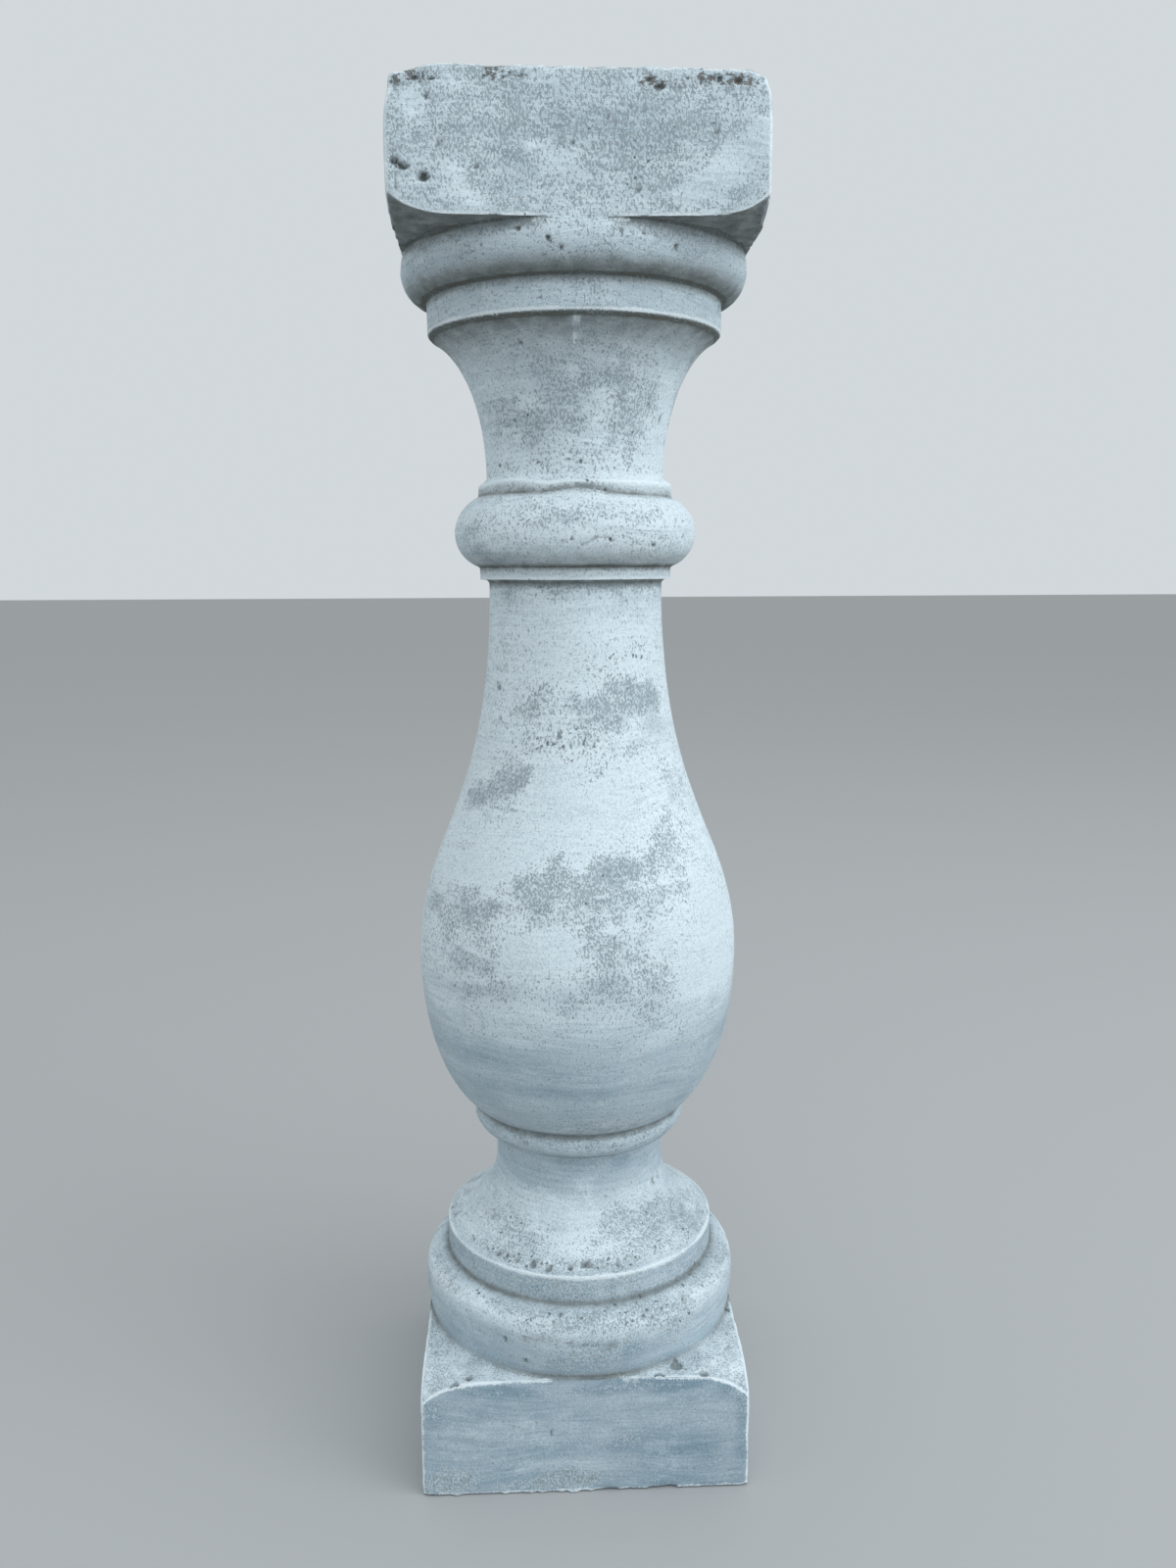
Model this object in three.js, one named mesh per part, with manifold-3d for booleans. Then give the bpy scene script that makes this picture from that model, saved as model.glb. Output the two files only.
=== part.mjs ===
// A cast concrete baluster: square plinth, turned shaft and square abacus, poured as one body.
// Millimetres, +Z up, origin at the centre of the underside, faces square to X and Y.

import * as THREE from 'three';
import { mergeVertices } from 'three/addons/utils/BufferGeometryUtils.js';
import Module from 'manifold-3d';

// End blocks. Heights are at the middle of a face, and the beds fall away towards the corners.
const blockSide = 150;
const arrisRadius = 1.6;
const plinthHeight = 57.6;
const plinthBedFall = 0.8;
const plinthCornerInset = 19;
const plinthCornerDrop = 10.9;
const abacusHeight = 55.4;
const abacusBedFall = 0.2;
const abacusCornerInset = 16;
const abacusCornerDrop = 9.9;

// Lower torus, just outside the block faces, with the upright band above it.
const footTorusBulge = 1.6;
const footTorusSetback = 0.4;
const footTorusRise = 17.9;
const footTorusCrown = 12.5;
const footBandStep = 11;
const footBandHeight = 13.1;

// Hollow flare above the foot band, and the short neck under the collar.
const flareHeight = 31.9;
const neckRadius = 40.7;
const neckHeight = 13;
const collarUndercut = 3.8;

// Cushion collar that carries the belly.
const collarProjection = 10.6;
const collarHeight = 11.4;
const collarSwell = 0.59;
const collarLipStep = 3.7;
const collarCreaseStep = 1.5;

// Pear-shaped belly and the long sleeve that it tapers into.
const bellyRadius = 75.9;
const bellyBottomHeight = 76;
const sleeveHeight = 174.7;
const sleeveTopRadius = 40.1;
const sleeveCove = 1.2;

// Half-round ring between two fillets.
const filletProjection = 4.1;
const lowerFilletHeight = 5.6;
const ringHeight = 30.6;
const ringProjection = 11.1;
const upperFilletHeight = 6.1;
const filletSlope = 2.8;

// Trumpet bell and the upright band above it.
const bellFootStep = 3.8;
const bellHeight = 60.2;
const bellDrop = 61.8;
const bellSpread = 31;
const headBandSoffit = 1.5;
const headBandHeight = 13.1;
const headBandStep = 11.3;

// Upper torus under the abacus.
const headTorusBulge = 2;
const headTorusTuck = 1.2;
const headTorusRise = 14.2;
const headTorusCrown = 4.6;

// How far the shaft runs on inside the end blocks, as shares of their half width and height.
const coreShare = 0.9;
const sinkShare = 1 / 3;

// Shape of the free curves: how far each end pulls, as a share of the curve's height, and how far
// it leans up from level, in degrees.
const flareFootPull = 0.5;
const flareFootLean = 25;
const flareNeckPull = 0.44;
const bellyFootPull = 0.244;
const bellyFootLean = 33.8;
const bellySidePull = 0.496;
const sleeveFootPull = 0.325;
const sleeveTopPull = 0.604;
const upright = 90;

// Fineness of the surfaces: sides around the axis, and steps along each curve.
const turns = 56;
const fineness = {
  footSpring: 3,
  footTorus: 6,
  flare: 7,
  collar: 4,
  bellyFoot: 7,
  sleeve: 11,
  ring: 8,
  bell: 8,
  headTorus: 5,
  headSpring: 2,
  bed: 6,
  arris: 3
};

const blockHalf = blockSide / 2;
const cornerRadius = blockHalf * Math.SQRT2;

const point = (r, z) => new THREE.Vector2(r, z);

// A quarter of an ellipse between two points, upright at the point with the larger radius.
function quarterRound(from, to, steps) {
  const outward = to.x > from.x;
  const points = [];
  for (let i = 0; i <= steps; i += 1) {
    const a = (i / steps) * (Math.PI / 2);
    const across = outward ? Math.sin(a) : 1 - Math.cos(a);
    const up = outward ? 1 - Math.cos(a) : Math.sin(a);
    points.push(point(from.x + (to.x - from.x) * across, from.y + (to.y - from.y) * up));
  }
  return points;
}

// A free curve that rises from one point to another. It leaves the first at a lean from level,
// outwards or inwards, and reaches the second upright.
function risingCurve(from, footPull, footLean, to, topPull, steps) {
  const height = to.y - from.y;
  const lean = THREE.MathUtils.degToRad(footLean);
  const side = Math.sign(to.x - from.x);
  const start = point(side * Math.cos(lean), Math.sin(lean)).multiplyScalar(height * footPull);
  const end = point(to.x, to.y - height * topPull);
  return new THREE.CubicBezierCurve(from, start.add(from), end, to).getPoints(steps);
}

// A half-round moulding: the circular arc over an upright chord.
function halfRound(chordRadius, bottom, top, projection, steps) {
  const halfChord = (top - bottom) / 2;
  const radius = (halfChord * halfChord + projection * projection) / (2 * projection);
  const centre = point(chordRadius + projection - radius, bottom + halfChord);
  const reach = Math.atan2(halfChord, radius - projection);
  const points = [];
  for (let i = 0; i <= steps; i += 1) {
    const a = -reach + (2 * reach * i) / steps;
    points.push(point(centre.x + radius * Math.cos(a), centre.y + radius * Math.sin(a)));
  }
  return points;
}

// The collar: a parabola that swells from its lower lip and draws in to the crease. Swell is the
// share of the height at which it is widest.
function cushion(radius, bottom, height, swell, lipStep, creaseStep, steps) {
  const points = [];
  for (let i = 0; i <= steps; i += 1) {
    const share = i / steps;
    const below = share < swell;
    const away = below ? (swell - share) / swell : (share - swell) / (1 - swell);
    const step = below ? lipStep : creaseStep;
    points.push(point(radius - step * away * away, bottom + height * share));
  }
  return points;
}

// The trumpet: part of an ellipse that starts upright at its foot.
function trumpet(footRadius, bottom, height, drop, spread, steps) {
  const points = [];
  for (let i = 0; i <= steps; i += 1) {
    const z = height * Math.sin((i / steps) * (Math.PI / 2));
    const share = z / Math.max(drop, height);
    points.push(point(footRadius + spread * (1 - Math.sqrt(1 - share * share)), bottom + z));
  }
  return points;
}

// The profile of the shaft, from inside the plinth to inside the abacus.
function shaftProfile() {
  const footTorusRadius = blockHalf + footTorusBulge;
  const footSpring = point(blockHalf - footTorusSetback, plinthHeight);
  const footWidest = point(footTorusRadius, footSpring.y + footTorusRise);
  const footBandBottom = point(footTorusRadius - footBandStep, footWidest.y + footTorusCrown);
  const footBandTop = point(footBandBottom.x, footBandBottom.y + footBandHeight);
  const neckBottom = point(neckRadius, footBandTop.y + flareHeight);
  const neckTop = point(neckRadius, neckBottom.y + neckHeight);
  const collarRadius = neckRadius + collarProjection;
  const collarBottom = neckTop.y + collarUndercut;
  const crease = point(collarRadius - collarCreaseStep, collarBottom + collarHeight);
  const bellyWidest = point(bellyRadius, crease.y + bellyBottomHeight);
  const sleeveTop = point(sleeveTopRadius, bellyWidest.y + sleeveHeight);
  const filletRadius = sleeveTopRadius + filletProjection;
  const ringBottom = sleeveTop.y + lowerFilletHeight;
  const ringTop = ringBottom + ringHeight;
  const filletTop = ringTop + upperFilletHeight;
  const bellBottom = point(filletRadius - bellFootStep, filletTop + filletSlope);
  const bellTop = bellBottom.y + bellHeight;
  const headTorusRadius = blockHalf + headTorusBulge;
  const headBandBottom = point(headTorusRadius - headBandStep, bellTop + headBandSoffit);
  const headBandTop = point(headBandBottom.x, headBandBottom.y + headBandHeight);
  const headWidest = point(headTorusRadius, headBandTop.y + headTorusRise);
  const headSpring = point(headTorusRadius - headTorusTuck, headWidest.y + headTorusCrown);

  const coreRadius = blockHalf * coreShare;
  const coreBottom = footSpring.y - plinthHeight * sinkShare;
  const coreTop = headSpring.y + abacusHeight * sinkShare;
  const sleeveEnd = point(sleeveTop.x, sleeveTop.y - sleeveCove);

  const points = [
    point(0, coreBottom),
    point(coreRadius, coreBottom),
    ...quarterRound(footSpring, footWidest, fineness.footSpring),
    ...quarterRound(footWidest, footBandBottom, fineness.footTorus),
    ...risingCurve(footBandTop, flareFootPull, flareFootLean, neckBottom, flareNeckPull,
      fineness.flare),
    neckTop,
    ...cushion(collarRadius, collarBottom, collarHeight, collarSwell, collarLipStep,
      collarCreaseStep, fineness.collar),
    ...risingCurve(crease, bellyFootPull, bellyFootLean, bellyWidest, bellySidePull,
      fineness.bellyFoot),
    ...risingCurve(bellyWidest, sleeveFootPull, upright, sleeveEnd, sleeveTopPull,
      fineness.sleeve),
    point(sleeveTop.x + sleeveCove, sleeveTop.y),
    point(filletRadius, sleeveTop.y),
    ...halfRound(filletRadius, ringBottom, ringTop, ringProjection, fineness.ring),
    point(filletRadius, filletTop),
    ...trumpet(bellBottom.x, bellBottom.y, bellHeight, bellDrop, bellSpread, fineness.bell),
    headBandBottom,
    ...quarterRound(headBandTop, headWidest, fineness.headTorus),
    ...quarterRound(headWidest, headSpring, fineness.headSpring),
    point(coreRadius, coreTop),
    point(0, coreTop)
  ];
  return { points, headHeight: headSpring.y };
}

// The bed of an end block, from its middle out to the corner. It falls evenly at first and then
// along an arc that passes through the block's corner.
function bedProfile(height, fall, inset, drop) {
  const start = point(cornerRadius - inset, height - fall);
  const radius = (inset * inset + drop * drop) / (2 * drop);
  const points = [point(0, height), point(blockHalf * coreShare, height), start];
  for (let i = 1; i <= fineness.bed; i += 1) {
    const out = (inset * i) / fineness.bed;
    points.push(point(start.x + out, start.y - radius + Math.sqrt(radius * radius - out * out)));
  }
  return points;
}

// A closed solid turned from a profile that runs from the axis back to the axis.
function turned(points) {
  const apart = points.filter((p, i) => i === 0 || p.distanceTo(points[i - 1]) > 0.001);
  const geometry = new THREE.LatheGeometry(apart, turns);
  geometry.rotateX(Math.PI / 2);
  return geometry;
}

// The square column that an end block is cut from, with softened arrises.
function squareColumn(height) {
  const a = blockHalf;
  const b = blockHalf - arrisRadius;
  const shape = new THREE.Shape();
  shape.moveTo(-b, -a);
  shape.lineTo(b, -a);
  shape.absarc(b, -b, arrisRadius, -Math.PI / 2, 0, false);
  shape.lineTo(a, b);
  shape.absarc(b, b, arrisRadius, 0, Math.PI / 2, false);
  shape.lineTo(-b, a);
  shape.absarc(-b, b, arrisRadius, Math.PI / 2, Math.PI, false);
  shape.lineTo(-a, -b);
  shape.absarc(-b, -b, arrisRadius, Math.PI, Math.PI * 1.5, false);
  return new THREE.ExtrudeGeometry(shape, {
    depth: height,
    bevelEnabled: false,
    curveSegments: fineness.arris
  });
}

const wasm = await Module();
wasm.setup();

// A three.js geometry as a solid: shared vertices merged, triangles without area dropped.
function toSolid(geometry) {
  const bare = geometry.clone();
  bare.deleteAttribute('normal');
  bare.deleteAttribute('uv');
  const merged = mergeVertices(bare, 1e-4);
  const index = merged.getIndex().array;
  const corners = [];
  for (let i = 0; i < index.length; i += 3) {
    const [a, b, c] = [index[i], index[i + 1], index[i + 2]];
    if (a !== b && b !== c && c !== a) {
      corners.push(a, b, c);
    }
  }
  return new wasm.Manifold(new wasm.Mesh({
    numProp: 3,
    vertProperties: new Float32Array(merged.getAttribute('position').array),
    triVerts: new Uint32Array(corners)
  }));
}

function toGeometry(solid) {
  const mesh = solid.getMesh();
  const geometry = new THREE.BufferGeometry();
  geometry.setAttribute('position', new THREE.BufferAttribute(mesh.vertProperties, 3));
  geometry.setIndex(new THREE.BufferAttribute(mesh.triVerts, 1));
  geometry.computeVertexNormals();
  return geometry;
}

// An end block standing on z = 0: the square column cut by the turned bed.
function endBlock(height, fall, inset, drop) {
  const bed = bedProfile(height, fall, inset, drop).reverse();
  const below = -height;
  const cutter = turned([point(0, below), point(bed[0].x, below), ...bed]);
  return toSolid(squareColumn(height)).intersect(toSolid(cutter));
}

function balusterGeometry() {
  const shaft = shaftProfile();
  const plinth = endBlock(plinthHeight, plinthBedFall, plinthCornerInset, plinthCornerDrop);
  const abacus = endBlock(abacusHeight, abacusBedFall, abacusCornerInset, abacusCornerDrop)
    .rotate([180, 0, 0])
    .translate([0, 0, shaft.headHeight + abacusHeight]);
  return toGeometry(toSolid(turned(shaft.points)).add(plinth).add(abacus));
}

const baluster = new THREE.Mesh(
  balusterGeometry(),
  new THREE.MeshStandardMaterial({ color: 0xb4c0c4, roughness: 0.92, metalness: 0 })
);
baluster.name = 'baluster';

const group = new THREE.Group();
group.add(baluster);

export default group;
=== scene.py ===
import math

import bmesh
import bpy
import numpy as np
from mathutils import Matrix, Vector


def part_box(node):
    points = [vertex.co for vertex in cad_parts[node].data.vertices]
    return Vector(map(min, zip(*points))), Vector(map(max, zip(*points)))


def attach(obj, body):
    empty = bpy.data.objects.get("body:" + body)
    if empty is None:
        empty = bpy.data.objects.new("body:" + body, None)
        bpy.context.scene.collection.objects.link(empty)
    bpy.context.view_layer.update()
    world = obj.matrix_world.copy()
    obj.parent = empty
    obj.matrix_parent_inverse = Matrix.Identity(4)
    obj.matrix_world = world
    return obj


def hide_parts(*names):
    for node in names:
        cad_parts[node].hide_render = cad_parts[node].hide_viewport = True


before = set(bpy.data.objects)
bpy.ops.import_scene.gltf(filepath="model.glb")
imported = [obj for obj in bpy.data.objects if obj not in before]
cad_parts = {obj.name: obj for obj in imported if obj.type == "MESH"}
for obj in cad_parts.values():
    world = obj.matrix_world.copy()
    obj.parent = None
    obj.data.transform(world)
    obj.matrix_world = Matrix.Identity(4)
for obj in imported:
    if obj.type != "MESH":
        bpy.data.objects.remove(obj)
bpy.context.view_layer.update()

# The turned shaft. It is grey concrete, cast in one with the two end blocks, and every moulding on it
# belongs to one profile swept round the upright axis. Sizes are in millimetres, from the floor up.
MM = 0.001
high_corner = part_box("baluster")[1]
TOTAL_HEIGHT = high_corner.z / MM
HEAD_TORUS_RADIUS = high_corner.x / MM
BLOCK_HALF = HEAD_TORUS_RADIUS - 2.0

PLINTH_HEIGHT = 57.6
ABACUS_HEIGHT = 55.4
FOOT_TORUS_RADIUS = BLOCK_HALF + 1.6
FOOT_BAND_RADIUS = FOOT_TORUS_RADIUS - 11.0
NECK_RADIUS = 40.7
COLLAR_RADIUS = NECK_RADIUS + 10.6
BELLY_RADIUS = 75.9
SLEEVE_TOP_RADIUS = 40.1
FILLET_RADIUS = SLEEVE_TOP_RADIUS + 4.1
HEAD_BAND_RADIUS = HEAD_TORUS_RADIUS - 11.3

FOOT_WIDEST = PLINTH_HEIGHT + 17.9
FOOT_BAND_BOTTOM = FOOT_WIDEST + 12.5
FOOT_BAND_TOP = FOOT_BAND_BOTTOM + 13.1
NECK_BOTTOM = FOOT_BAND_TOP + 31.9
NECK_TOP = NECK_BOTTOM + 13.0
COLLAR_BOTTOM = NECK_TOP + 3.8
COLLAR_TOP = COLLAR_BOTTOM + 11.4
BELLY_WIDEST = COLLAR_TOP + 76.0
SLEEVE_TOP = BELLY_WIDEST + 174.7
RING_BOTTOM = SLEEVE_TOP + 5.6
RING_TOP = RING_BOTTOM + 30.6
FILLET_TOP = RING_TOP + 6.1
BELL_BOTTOM = FILLET_TOP + 2.8
BELL_TOP = BELL_BOTTOM + 60.2
HEAD_BAND_BOTTOM = BELL_TOP + 1.5
HEAD_BAND_TOP = HEAD_BAND_BOTTOM + 13.1
HEAD_WIDEST = HEAD_BAND_TOP + 14.2
HEAD_SPRING = TOTAL_HEIGHT - ABACUS_HEIGHT

FOOT_TORUS_SETBACK = 0.4
FOOT_TORUS_SINK = 0.3
COLLAR_SWELL = 0.59
COLLAR_LIP_STEP = 3.7
COLLAR_CREASE_STEP = 1.5
SLEEVE_COVE = 1.2
RING_PROJECTION = 11.1
BELL_FOOT_STEP = 3.8
BELL_DROP = 61.8
BELL_SPREAD = 31.0
HEAD_TORUS_TUCK = 1.2

CURVE_POINTS = 60
EDGE_WEAR = 0.42
BELL_WIDTHS = 3
PROFILE_STEP = 0.1
BEND_REACH = 7.0
SHAFT_ROWS = 206


def quarter_round(start, end):
    """A quarter of an ellipse from start to end, upright at the larger radius: across by the sine and
    up by one less the cosine of a right angle's turn going outwards, the other way round inwards."""
    turn = np.linspace(0, math.pi / 2, CURVE_POINTS)
    rising, falling = np.sin(turn), 1 - np.cos(turn)
    shares = [rising, falling] if end[0] > start[0] else [falling, rising]
    return np.array(start) + np.column_stack(shares) * np.subtract(end, start)


def rising_curve(start, end, foot_pull, foot_lean, top_pull):
    """A cubic curve that leaves start at a lean from level, in degrees, and reaches end upright. The
    pulls are shares of its height."""
    height = end[1] - start[1]
    lean = math.radians(foot_lean)
    side = math.copysign(1, end[0] - start[0])
    pull = height * foot_pull
    knots = np.array([
        start,
        [start[0] + side * pull * math.cos(lean), start[1] + pull * math.sin(lean)],
        [end[0], end[1] - height * top_pull],
        end,
    ])
    t = np.linspace(0, 1, CURVE_POINTS)[:, None]
    weights = [(1 - t) ** 3, 3 * (1 - t) ** 2 * t, 3 * (1 - t) * t**2, t**3]
    return sum(weight * knot for weight, knot in zip(weights, knots))


def half_round(chord_radius, bottom, top, projection):
    """The circular arc that stands out by projection over an upright chord."""
    half = (top - bottom) / 2
    radius = (half**2 + projection**2) / (2 * projection)
    reach = math.atan2(half, radius - projection)
    turn = np.linspace(-reach, reach, CURVE_POINTS)
    centre = chord_radius + projection - radius
    return np.column_stack([centre + radius * np.cos(turn), bottom + half + radius * np.sin(turn)])


def cushion(radius, bottom, height, swell, lip_step, crease_step):
    """A parabola that is widest at the share swell of its height, and drawn in by lip_step at its
    bottom and by crease_step at its top."""
    share = np.linspace(0, 1, CURVE_POINTS)
    away = np.where(share < swell, (swell - share) / swell, (share - swell) / (1 - swell))
    step = np.where(share < swell, lip_step, crease_step)
    return np.column_stack([radius - step * away**2, bottom + height * share])


def trumpet(foot_radius, bottom, height, drop, spread):
    """Part of an ellipse, upright at its foot: outwards by spread times one less the root of one
    less the squared share of drop."""
    z = height * np.sin(np.linspace(0, math.pi / 2, CURVE_POINTS))
    return np.column_stack([foot_radius + spread * (1 - np.sqrt(1 - (z / drop) ** 2)), bottom + z])


def worn(profile):
    """The profile with its corners rubbed round: stepped evenly along its length, then averaged over
    its neighbours by a bell curve as wide as the wear."""
    along = np.concatenate([[0], np.cumsum(np.hypot(*np.diff(profile, axis=0).T))])
    even = np.arange(0, along[-1], PROFILE_STEP)
    reach = int(BELL_WIDTHS * EDGE_WEAR / PROFILE_STEP)
    bell = np.exp(-0.5 * (np.arange(-reach, reach + 1) * PROFILE_STEP / EDGE_WEAR) ** 2)
    columns = [np.interp(even, along, profile[:, i]) for i in range(2)]
    padded = [np.pad(c, reach, mode="reflect", reflect_type="odd") for c in columns]
    return np.column_stack([np.convolve(c, bell / bell.sum(), "valid") for c in padded])


def rows_along(profile, count):
    """That many rows along the profile, closer where it bends: even steps of its length plus the
    angle that it turns through times BEND_REACH."""
    step = np.diff(profile, axis=0)
    heading = np.unwrap(np.arctan2(step[:, 1], step[:, 0]))
    weight = np.hypot(*step.T) + BEND_REACH * np.abs(np.gradient(heading))
    summed = np.concatenate([[0], np.cumsum(weight)])
    places = np.linspace(0, summed[-1], count)
    return np.column_stack([np.interp(places, summed, profile[:, i]) for i in range(2)])


foot_torus_side = (FOOT_TORUS_RADIUS, FOOT_WIDEST)
neck_foot = (NECK_RADIUS, NECK_BOTTOM)
belly_side = (BELLY_RADIUS, BELLY_WIDEST)
head_torus_side = (HEAD_TORUS_RADIUS, HEAD_WIDEST)
shaft_profile = np.vstack([
    quarter_round((BLOCK_HALF - FOOT_TORUS_SETBACK, PLINTH_HEIGHT - FOOT_TORUS_SINK), foot_torus_side),
    quarter_round(foot_torus_side, (FOOT_BAND_RADIUS, FOOT_BAND_BOTTOM)),
    rising_curve((FOOT_BAND_RADIUS, FOOT_BAND_TOP), neck_foot, foot_pull=0.5, foot_lean=25, top_pull=0.44),
    [(NECK_RADIUS, NECK_TOP)],
    cushion(
        COLLAR_RADIUS, COLLAR_BOTTOM, COLLAR_TOP - COLLAR_BOTTOM, COLLAR_SWELL, COLLAR_LIP_STEP,
        COLLAR_CREASE_STEP,
    ),
    rising_curve(
        (COLLAR_RADIUS - COLLAR_CREASE_STEP, COLLAR_TOP), belly_side, foot_pull=0.244, foot_lean=33.8,
        top_pull=0.496,
    ),
    rising_curve(
        belly_side, (SLEEVE_TOP_RADIUS, SLEEVE_TOP - SLEEVE_COVE), foot_pull=0.325, foot_lean=90,
        top_pull=0.604,
    ),
    [(SLEEVE_TOP_RADIUS + SLEEVE_COVE, SLEEVE_TOP), (FILLET_RADIUS, SLEEVE_TOP)],
    half_round(FILLET_RADIUS, RING_BOTTOM, RING_TOP, RING_PROJECTION),
    [(FILLET_RADIUS, FILLET_TOP)],
    trumpet(FILLET_RADIUS - BELL_FOOT_STEP, BELL_BOTTOM, BELL_TOP - BELL_BOTTOM, BELL_DROP, BELL_SPREAD),
    [(HEAD_BAND_RADIUS, HEAD_BAND_BOTTOM)],
    quarter_round((HEAD_BAND_RADIUS, HEAD_BAND_TOP), head_torus_side),
    quarter_round(head_torus_side, (HEAD_TORUS_RADIUS - HEAD_TORUS_TUCK, HEAD_SPRING)),
])
shaft_rows = rows_along(worn(shaft_profile), SHAFT_ROWS)

# The end blocks. The square plinth and abacus are part of the same pour. Their arrises are softened,
# and their beds fall away towards the corners, where the turning tool of the pattern ran through.
ARRIS_RADIUS = 1.6
CORNER_RADIUS = BLOCK_HALF * math.sqrt(2)
CORE_RADIUS = BLOCK_HALF * 0.9
PLINTH_BED = dict(height=PLINTH_HEIGHT, fall=0.8, inset=19.0, drop=10.9)
ABACUS_BED = dict(height=ABACUS_HEIGHT, fall=0.2, inset=16.0, drop=9.9)
COLUMNS_IN_EIGHTH = 32
FINE_TURNS = 901
FACE_CROWDING = 0.6
ARRIS_CROWDING = 6.0
ARRIS_CROWD_REACH = 1.4
UNDERSIDE_ROWS = 12
TOP_ROWS = 18
FACE_ROWS = 26
BED_ROWS = 10
END_CROWDING = 0.9
INNERMOST_ROW = 0.06
SOFTENING_PASSES = 6
SOFTENED_END_ROWS = 4
SOFTENED_SHAFT_ROWS = 3


def column_turns():
    """The angles of the mesh's columns, from the front round to the right. In each eighth they are
    spaced between even angles and even steps across a block's face, and crowd at its arris."""
    fine = np.linspace(0, 45, FINE_TURNS)
    crowd = 1 + FACE_CROWDING / np.cos(np.radians(fine)) ** 2
    crowd += ARRIS_CROWDING * np.exp(-(((45 - fine) / ARRIS_CROWD_REACH) ** 2))
    summed = np.concatenate([[0], np.cumsum(crowd[1:])])
    eighth = np.interp(np.linspace(0, summed[-1], COLUMNS_IN_EIGHTH + 1), summed, fine)
    quarter = np.concatenate([-eighth[:0:-1], eighth[:-1]])
    return np.radians(np.concatenate([quarter + 90 * side for side in range(4)]))


def block_side(turn):
    """Distance from the axis to a block's side: the half width over the larger of the sine and the
    cosine, or the quarter circle of the arris where the side would pass into it."""
    across, along = np.abs(np.sin(turn)), np.abs(np.cos(turn))
    flat = BLOCK_HALF / np.maximum(across, along)
    centre = BLOCK_HALF - ARRIS_RADIUS
    reach = centre * (across + along)
    arc = reach + np.sqrt(np.maximum(reach**2 - 2 * centre**2 + ARRIS_RADIUS**2, 0))
    return np.where(flat * np.minimum(across, along) > centre, arc, flat)


def bed_height(radius, height, fall, inset, drop):
    """Height of a bed at a distance from the axis: an even fall, then a circular arc that drops away
    over the inset before the block's corner."""
    start = CORNER_RADIUS - inset
    curve = (inset**2 + drop**2) / (2 * drop)
    out = np.clip(radius - start, 0, inset)
    slope = np.clip((radius - CORE_RADIUS) / (start - CORE_RADIUS), 0, 1)
    return height - fall * slope - curve + np.sqrt(curve**2 - out**2)


def crowded(count):
    """Shares from 0 to 1 that crowd towards both ends, by an even share less part of its sine."""
    even = np.linspace(0, 1, count)
    return even - END_CROWDING * np.sin(2 * math.pi * even) / (2 * math.pi)


def block_rows(turn, meet, bed, cap_rows):
    """Radius and height of a block's rows, for a block standing on the floor: out along its flat end,
    up its side and in along its bed to the radius where the shaft meets it."""
    side = block_side(turn)[None, :]
    out = np.sin(np.linspace(INNERMOST_ROW, 1, cap_rows) * math.pi / 2)[:, None]
    up = crowded(FACE_ROWS)[1:, None]
    inward = crowded(BED_ROWS)[1:, None]
    edge = bed_height(side, **bed)
    bed_radius = side + (meet - side) * inward
    radius = np.vstack([side * out, side + 0 * up, bed_radius])
    height = np.vstack([0 * side * out, edge * up, bed_height(bed_radius, **bed)])
    return radius, height


CREASE_WANDER = [
    # turn, rise of the crease between the ring and the upper fillet
    (-180, 0.6), (-90, 1.0), (-50, 1.4), (-20, 1.4), (-8, 2.6), (0, 3.3), (10, 2.8), (16, 1.2), (30, 0.5),
    (90, 0.3), (180, 0.6),
]
RIM_WANDER = [
    # turn, rise of the upper fillet's top edge
    (-180, -0.3), (-70, -0.5), (-50, 0.7), (-38, 0.8), (-25, -0.4), (-18, -1.2), (-8, -0.3), (20, -0.2),
    (40, -0.5), (90, 0.4), (180, -0.3),
]
WANDERS = {RING_TOP: CREASE_WANDER, FILLET_TOP: RIM_WANDER}
WANDER_REACH = 4.5


def rise_of(level, turn):
    """How far the line at a level lies above it at each turn, nothing for a line that runs level."""
    signed = np.degrees((turn + math.pi) % (2 * math.pi) - math.pi)
    return np.interp(signed, *zip(*WANDERS[level])) if level in WANDERS else 0 * signed


def wandering(height, turn):
    """The heights with the upper fillet's crease and top edge moved as they run round, by less and less
    up to the reach above and below them."""
    moved = height.copy()
    for level in WANDERS:
        moved += rise_of(level, turn) * np.clip(1 - np.abs(height - level) / WANDER_REACH, 0, 1)
    return moved


def soften(values, first, last):
    """Rounds what turns a corner between two rows: passes that average each row with its neighbours."""
    for _ in range(SOFTENING_PASSES):
        mean = (values[first - 1:last - 1] + 2 * values[first:last] + values[first + 1:last + 1]) / 4
        values[first:last] = mean


def baluster_grid():
    """Radius and height of every vertex, row by row from the middle of the underside to the middle of
    the top, and the angle of each column."""
    turn = column_turns()
    across = np.ones(len(turn))
    foot = block_rows(turn, shaft_rows[0, 0], PLINTH_BED, UNDERSIDE_ROWS)
    head = block_rows(turn, shaft_rows[-1, 0], ABACUS_BED, TOP_ROWS)
    inner = shaft_rows[1:-1]
    radius = np.vstack([foot[0], np.outer(inner[:, 0], across), head[0][::-1]])
    shaft = wandering(np.outer(inner[:, 1], across), turn)
    height = np.vstack([foot[1], shaft, TOTAL_HEIGHT - head[1][::-1]])
    foot_end, head_start = len(foot[0]), len(radius) - len(head[0])
    for values in (radius, height):
        soften(values, UNDERSIDE_ROWS - SOFTENED_END_ROWS, foot_end + SOFTENED_SHAFT_ROWS)
        soften(values, head_start - SOFTENED_SHAFT_ROWS, len(radius) - TOP_ROWS + SOFTENED_END_ROWS)
    return radius, height, turn


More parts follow.
